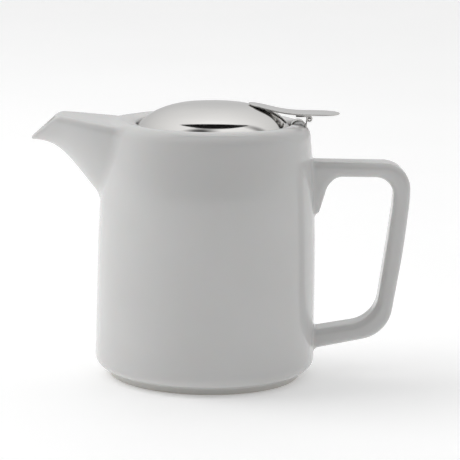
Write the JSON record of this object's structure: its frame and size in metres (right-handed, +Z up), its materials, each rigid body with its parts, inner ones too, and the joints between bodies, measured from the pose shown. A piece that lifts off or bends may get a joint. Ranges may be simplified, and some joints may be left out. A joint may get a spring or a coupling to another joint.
{
  "type": "teapot infuser",
  "caption": "Glazed porcelain teapot with a wedge spout, bar handle, hinged polished steel lid with a thumb lever, and a lift-out perforated steel tea basket.",
  "frame": {"origin": "centre of the pot's foot ring, in the plane it stands on", "axes": "+Z up along the pot's axis, +X from the spout towards the handle, +Y to the far side when the spout is on the left"},
  "size_m": [0.1677, 0.097, 0.1213],
  "materials": {
    "glazed_porcelain": "clear gloss glaze over white porcelain",
    "polished_steel": "mirror-polished stainless steel",
    "satin_steel": "satin spun stainless steel",
    "perforated_steel": "satin stainless steel with rows of fine etched holes"
  },
  "bodies": {
    "pot": {"pot_body": "glazed_porcelain", "spout": "glazed_porcelain", "handle": "glazed_porcelain"},
    "clip": {"saddle_clip": "polished_steel", "riser_leaf": "polished_steel", "hinge_pin": "polished_steel"},
    "lid": {"lid_dome": "polished_steel", "lid_skirt": "satin_steel", "thumb_lever": "polished_steel", "dome_strap": "polished_steel", "lever_leaf": "polished_steel"},
    "infuser": {"infuser_rim": "satin_steel", "infuser_wall": "perforated_steel", "infuser_hoop": "satin_steel", "infuser_floor": "perforated_steel", "infuser_seam": "satin_steel"}
  },
  "joints": [
    {"name": "lid_unit_lift", "type": "slide", "parent": "pot", "child": "clip", "axis": [0, 0, 1], "range_m": [0, 0.13]},
    {"name": "lid_hinge", "type": "hinge", "parent": "clip", "child": "lid", "pos_m": [0.0436, 0, 0.1154], "axis": [0, 1, 0], "range_deg": [0, 80]},
    {"name": "infuser_lift", "type": "slide", "parent": "pot", "child": "infuser", "axis": [0, 0, 1], "range_m": [0, 0.08]}
  ],
  "couplings": [
    {"joint": "infuser_lift", "follows": "lid_unit_lift", "ratio": 0.6}
  ]
}
